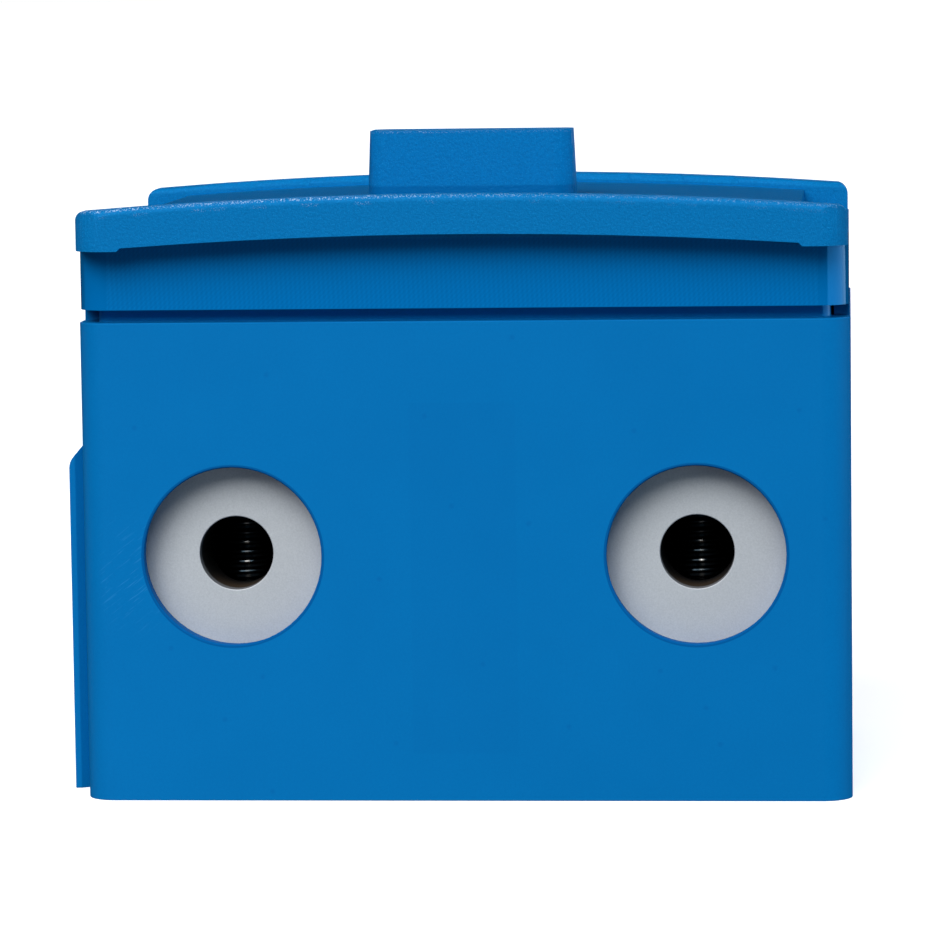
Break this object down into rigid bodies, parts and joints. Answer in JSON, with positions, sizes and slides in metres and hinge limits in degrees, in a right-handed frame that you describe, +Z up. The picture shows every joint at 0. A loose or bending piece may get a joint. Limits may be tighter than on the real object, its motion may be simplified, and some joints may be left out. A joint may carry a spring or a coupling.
{
  "type": "terminal block",
  "caption": "Boxy moulded terminal block with an arched pull-off lid, round cable entries front and rear, and clamp screws in an aluminium bar inside.",
  "frame": {"origin": "centre of the housing's underside, below the middle of the four cable entries", "axes": "+X to the right seen from the front, +Y from the front wall to the rear wall, +Z up through the lid"},
  "size_m": [0.0792, 0.055, 0.0665],
  "materials": {
    "housing_plastic": "smooth satin moulding",
    "lid_plastic": "fine spark-eroded grain",
    "bar_aluminium": "matte, bead blasted",
    "black_steel": "black oxide",
    "plated_steel": "zinc plated"
  },
  "bodies": {
    "housing": {"base_housing": "housing_plastic", "terminal_bar": "bar_aluminium", "bar_screw_left": "plated_steel", "bar_screw_right": "plated_steel"},
    "lid": {"lid": "lid_plastic"},
    "clamp_front_left": {"clamp_screw_front_left": "black_steel"},
    "clamp_front_right": {"clamp_screw_front_right": "black_steel"},
    "clamp_rear_left": {"clamp_screw_rear_left": "black_steel"},
    "clamp_rear_right": {"clamp_screw_rear_right": "black_steel"}
  },
  "joints": [
    {"name": "lid_lift", "type": "slide", "parent": "housing", "child": "lid", "axis": [0, 0, 1], "range_m": [0, 0.03]},
    {"name": "clamp_front_left_travel", "type": "slide", "parent": "housing", "child": "clamp_front_left", "axis": [0, 0, 1], "range_m": [-0.0006, 0.0076]},
    {"name": "clamp_front_right_travel", "type": "slide", "parent": "housing", "child": "clamp_front_right", "axis": [0, 0, 1], "range_m": [-0.0006, 0.0076]},
    {"name": "clamp_rear_left_travel", "type": "slide", "parent": "housing", "child": "clamp_rear_left", "axis": [0, 0, 1], "range_m": [-0.0006, 0.0076]},
    {"name": "clamp_rear_right_travel", "type": "slide", "parent": "housing", "child": "clamp_rear_right", "axis": [0, 0, 1], "range_m": [-0.0006, 0.0076]}
  ]
}
